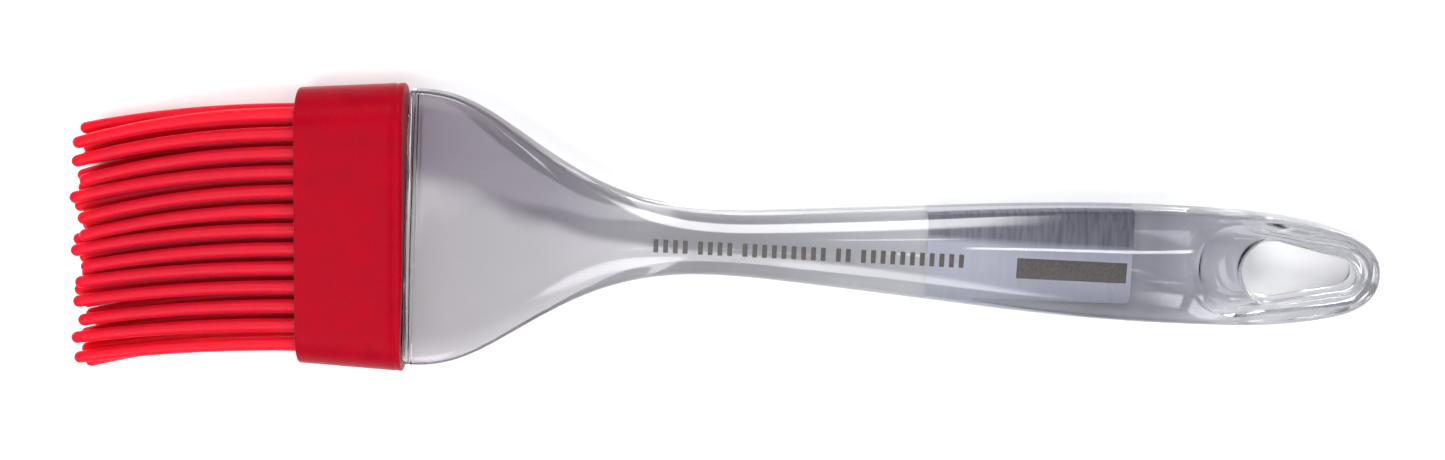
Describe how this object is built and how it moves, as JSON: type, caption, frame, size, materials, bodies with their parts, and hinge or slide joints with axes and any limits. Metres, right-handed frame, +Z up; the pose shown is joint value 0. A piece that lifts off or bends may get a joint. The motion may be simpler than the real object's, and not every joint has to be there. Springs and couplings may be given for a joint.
{
  "type": "pastry brush",
  "caption": "Flat silicone pastry brush with staggered rows of round bristles, a pull-off sleeve, and a clear moulded handle with a dished hanging hole.",
  "frame": {"origin": "middle of the sleeve's flat underside, which the brush rests on", "axes": "+X from the bristle tips to the hanging hole, +Y across the width, +Z up through the thickness"},
  "size_m": [0.2153, 0.0504, 0.013],
  "materials": {
    "clear_plastic": "clear, polished, faint lavender grey",
    "silicone_sleeve": "matte, fine spark-eroded grain",
    "silicone_bristles": "satin",
    "label_paper": "plain satin film",
    "ink": "matte pad print"
  },
  "bodies": {
    "handle": {"handle": "clear_plastic", "back_label": "label_paper", "front_printing": "ink"},
    "head": {"sleeve": "silicone_sleeve"},
    "row_a": {"bristle_a01": "silicone_bristles", "bristle_a02": "silicone_bristles", "bristle_a03": "silicone_bristles", "bristle_a04": "silicone_bristles", "bristle_a05": "silicone_bristles", "bristle_a06": "silicone_bristles", "bristle_a07": "silicone_bristles", "bristle_a08": "silicone_bristles", "bristle_a09": "silicone_bristles", "bristle_a10": "silicone_bristles", "bristle_a11": "silicone_bristles", "bristle_a12": "silicone_bristles", "bristle_a13": "silicone_bristles"},
    "row_b": {"bristle_b01": "silicone_bristles", "bristle_b02": "silicone_bristles", "bristle_b03": "silicone_bristles", "bristle_b04": "silicone_bristles", "bristle_b05": "silicone_bristles", "bristle_b06": "silicone_bristles", "bristle_b07": "silicone_bristles", "bristle_b08": "silicone_bristles", "bristle_b09": "silicone_bristles", "bristle_b10": "silicone_bristles", "bristle_b11": "silicone_bristles", "bristle_b12": "silicone_bristles"},
    "row_c": {"bristle_c01": "silicone_bristles", "bristle_c02": "silicone_bristles", "bristle_c03": "silicone_bristles", "bristle_c04": "silicone_bristles", "bristle_c05": "silicone_bristles", "bristle_c06": "silicone_bristles", "bristle_c07": "silicone_bristles", "bristle_c08": "silicone_bristles", "bristle_c09": "silicone_bristles", "bristle_c10": "silicone_bristles", "bristle_c11": "silicone_bristles", "bristle_c12": "silicone_bristles", "bristle_c13": "silicone_bristles"},
    "row_d": {"bristle_d01": "silicone_bristles", "bristle_d02": "silicone_bristles", "bristle_d03": "silicone_bristles", "bristle_d04": "silicone_bristles", "bristle_d05": "silicone_bristles", "bristle_d06": "silicone_bristles", "bristle_d07": "silicone_bristles", "bristle_d08": "silicone_bristles", "bristle_d09": "silicone_bristles", "bristle_d10": "silicone_bristles", "bristle_d11": "silicone_bristles", "bristle_d12": "silicone_bristles"}
  },
  "joints": [
    {"name": "head_pull_off", "type": "slide", "parent": "handle", "child": "head", "axis": [-1, 0, 0], "range_m": [0, 0.02]},
    {"name": "row_a_bend", "type": "hinge", "parent": "head", "child": "row_a", "pos_m": [-0.00995, 0, 0.01085], "axis": [0, 1, 0], "range_deg": [-25, 25], "stiffness_Nm_per_rad": 0.02},
    {"name": "row_b_bend", "type": "hinge", "parent": "head", "child": "row_b", "pos_m": [-0.00995, 0, 0.00795], "axis": [0, 1, 0], "range_deg": [-25, 25], "stiffness_Nm_per_rad": 0.02},
    {"name": "row_c_bend", "type": "hinge", "parent": "head", "child": "row_c", "pos_m": [-0.00995, 0, 0.00505], "axis": [0, 1, 0], "range_deg": [-25, 25], "stiffness_Nm_per_rad": 0.02},
    {"name": "row_d_bend", "type": "hinge", "parent": "head", "child": "row_d", "pos_m": [-0.00995, 0, 0.00215], "axis": [0, 1, 0], "range_deg": [-25, 25], "stiffness_Nm_per_rad": 0.02}
  ],
  "couplings": [
    {"joint": "row_b_bend", "follows": "row_a_bend", "ratio": 1},
    {"joint": "row_c_bend", "follows": "row_a_bend", "ratio": 1},
    {"joint": "row_d_bend", "follows": "row_a_bend", "ratio": 1}
  ]
}
